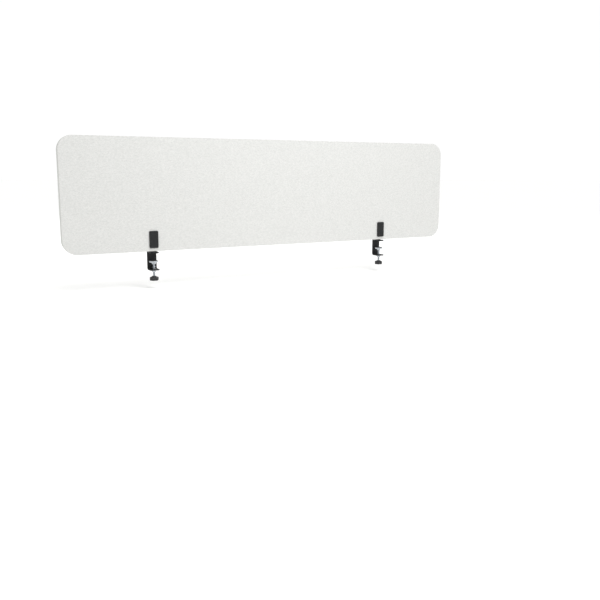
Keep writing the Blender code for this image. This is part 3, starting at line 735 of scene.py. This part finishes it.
# button-head machine screws with a hexagon socket, set on points at their seats behind the brackets
screwShape = {"Dome Rise": 3.115 * mm, "Head Height": 2.75 * mm, "Socket Width": 3 * mm,
              "Socket Depth": 1.4 * mm, "Shank Radius": 2.5 * mm}
domeTurns, domeRings, shankSides = 64, 48, 32


def screwTree():
    tree, given = startTree("buttonHeadScrews", list(screwShape) + ["Head Radius", "Shank Length"])
    ball = {"Segments": domeTurns, "Rings": domeRings, "Radius": 1.0}
    ball = addNode(tree, "GeometryNodeMeshUVSphere", ball)
    stretch = addNode(tree, "ShaderNodeCombineXYZ", {"X": given["Head Radius"], "Y": given["Head Radius"],
                                                     "Z": given["Dome Rise"]})
    position = addNode(tree, "GeometryNodeInputPosition")
    place = addNode(tree, "ShaderNodeVectorMath", {0: position, 1: stretch}, operation="MULTIPLY")
    place = addNode(tree, "ShaderNodeSeparateXYZ", {0: place}).outputs
    height = {"Value": place["Z"], "Min": 0.0, "Max": given["Head Height"]}
    height = addNode(tree, "ShaderNodeClamp", height)
    moved = addNode(tree, "ShaderNodeCombineXYZ", {"X": place["X"], "Y": place["Y"], "Z": height})
    head = addNode(tree, "GeometryNodeSetPosition", {"Geometry": ball, "Position": moved})
    corner = {0: given["Socket Width"], 1: 1 / math.sqrt(3)}
    corner = addNode(tree, "ShaderNodeMath", corner, operation="MULTIPLY")
    depth = addNode(tree, "ShaderNodeMath", {0: given["Socket Depth"], 1: 2.0}, operation="MULTIPLY")
    key = addNode(tree, "GeometryNodeMeshCylinder", {"Vertices": 6, "Radius": corner, "Depth": depth})
    up = addNode(tree, "ShaderNodeCombineXYZ", {"Z": given["Head Height"]})
    key = addNode(tree, "GeometryNodeTransform", {"Geometry": key.outputs["Mesh"], "Translation": up})
    head = addNode(tree, "GeometryNodeMeshBoolean", {"Mesh 1": head, "Mesh 2": key},
                   operation="DIFFERENCE", solver="EXACT")
    shank = {"Vertices": shankSides, "Radius": given["Shank Radius"], "Depth": given["Shank Length"]}
    shank = addNode(tree, "GeometryNodeMeshCylinder", shank)
    down = addNode(tree, "ShaderNodeMath", {0: given["Shank Length"], 1: -0.5}, operation="MULTIPLY")
    down = addNode(tree, "ShaderNodeCombineXYZ", {"Z": down})
    shank = addNode(tree, "GeometryNodeTransform", {"Geometry": shank.outputs["Mesh"], "Translation": down})
    screw = addNode(tree, "GeometryNodeJoinGeometry", {0: head})
    tree.links.new(shank.outputs[0], screw.inputs[0])
    points = {"Points": given["Geometry"], "Instance": screw, "Rotation": (math.radians(-90), 0, 0)}
    return endTree(tree, addNode(tree, "GeometryNodeInstanceOnPoints", points), given)


def bracketScrews():
    nodes = [f"{side}_{level}_screw" for side in sides for level in levels]
    low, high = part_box(nodes[0])
    seat = high.y - screwShape["Head Height"]
    points = bpy.data.meshes.new("seats")
    points.from_pydata([(middleOf(node).x, seat, middleOf(node).z) for node in nodes], [], [])
    sizes = dict(screwShape, **{"Head Radius": (high.x - low.x) / 2, "Shank Length": seat - low.y})
    mesh = cleanMesh(grow(points, screwTree(), sizes, oxide))
    addPiece("bracket_screws", mesh, oxide, "screen", nodes)


grooves, thread, lobes = grooveTree(), threadTree(), lobeTree()
for side in sides:
    frontPlate(side)
    clampStrips(side)
    jawPad(side, grooves)
    hexNut(side)
    pressureFoot(side)
    footPad(side)
    spindle(side, thread)
    handKnob(side, lobes)
    for level in levels:
        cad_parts[f"{side}_{level}_standoff"].material_slots[0].material = zinc
    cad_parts[f"{side}_retaining_ring"].material_slots[0].material = spring
    print(side, "clamp built")
bracketScrews()
print("screws set")

# plain pale studio: a wide floor below the knobs' lowest place, an even sky, a high light for the floor, a
# near lamp ahead of the screen's middle and a wider one behind; the sky is seen brighter than it shines,
# to meet the floor
studio = {"floorHeight": -0.125, "floorRadius": 40.0, "floorSides": 64, "floor": "#F9F9F8",
          "floorPatch": 1.25, "floorShade": 0.985, "sky": "#FFFFFF", "skyStrength": 0.70, "skySeen": 1.02}
highLight = {"place": (0, 0, 3), "toward": (-0.2, 0.3, -0.93), "softness": 50.0, "strength": 1.3}
lamps = {
    "frontLamp": {"place": (0.12, -1.35, 1.35), "aim": (0.08, 0.0, 0.4), "size": 0.9, "power": 11},
    "backLamp": {"place": (1.2, 3.2, 2.0), "aim": (0.0, 0.0, 0.15), "size": 2.4, "power": 45},
}


def paleFloor():
    material, tree, shader = startMaterial("paleFloor", {"Roughness": 0.9, "Specular IOR Level": 0.1})
    place = addNode(tree, "ShaderNodeTexCoord").outputs["Object"]
    drift = addNode(tree, "ShaderNodeTexNoise", {"Vector": place, "Scale": 1 / studio["floorPatch"]})
    pale = linearColour(studio["floor"])
    colour = {0: drift, 6: pale, 7: [c * studio["floorShade"] for c in pale[:3]] + [1.0]}
    linkShader(tree, shader, addNode(tree, "ShaderNodeMix", colour, data_type="RGBA"), None, None)
    mesh = bpy.data.meshes.new("floor")
    corners = studio["floorSides"]
    rim = [(x, y, studio["floorHeight"]) for x, y in circle(0, 0, studio["floorRadius"], corners)]
    mesh.from_pydata(rim, [], [list(range(corners))])
    mesh.materials.append(material)
    floor = holderOf(mesh)
    floor.name = "floor"


def evenSky():
    world = bpy.data.worlds.new("evenSky")
    world.use_nodes = True
    background = world.node_tree.nodes["Background"]
    background.inputs["Color"].default_value = linearColour(studio["sky"])
    seen = addNode(world.node_tree, "ShaderNodeLightPath").outputs["Is Camera Ray"]
    strength = {"Value": seen, "To Min": studio["skyStrength"], "To Max": studio["skySeen"]}
    strength = addNode(world.node_tree, "ShaderNodeMapRange", strength)
    world.node_tree.links.new(strength.outputs[0], background.inputs["Strength"])
    bpy.context.scene.world = world


def aimedAt(thing, place, direction, roll=0.0):
    turn = direction.to_track_quat("-Z", "Y").to_matrix().to_4x4()
    thing.matrix_world = Matrix.Translation(place) @ turn @ Matrix.Rotation(math.radians(roll), 4, "Z")


def addLights():
    sun = bpy.data.lights.new("highLight", "SUN")
    sun.angle, sun.energy = math.radians(highLight["softness"]), highLight["strength"]
    aimedAt(holderOf(sun), Vector(highLight["place"]), Vector(highLight["toward"]))
    for name, f in lamps.items():
        lamp = bpy.data.lights.new(name, "AREA")
        lamp.shape = "DISK"
        lamp.size, lamp.energy = f["size"], f["power"]
        aimedAt(holderOf(lamp), Vector(f["place"]), Vector(f["aim"]) - Vector(f["place"]))


paleFloor()
evenSky()
addLights()
bpy.context.scene.view_settings.view_transform = "Standard"

# the camera stands ahead and to the left of the desk, a little above the screen's middle; drop is how far
# its frame sits below the lens axis, as a share of the film's width
cameraShape = {"place": (-1.2571, -2.4744, 0.2819), "azimuth": 29.042, "tilt": 9.302, "roll": 0.055,
               "film": 36.0, "lens": 43.111, "drop": 0.0163}


def addCamera():
    f = cameraShape
    azimuth, tilt = math.radians(f["azimuth"]), math.radians(f["tilt"])
    level = math.cos(tilt)
    ahead = Vector((math.sin(azimuth) * level, math.cos(azimuth) * level, -math.sin(tilt)))
    data = bpy.data.cameras.new("camera")
    data.sensor_width, data.lens, data.shift_y = f["film"], f["lens"], -f["drop"]
    camera = holderOf(data)
    camera.name = "camera"
    aimedAt(camera, Vector(f["place"]), ahead, f["roll"])
    bpy.context.scene.camera = camera


addCamera()
print("studio ready")
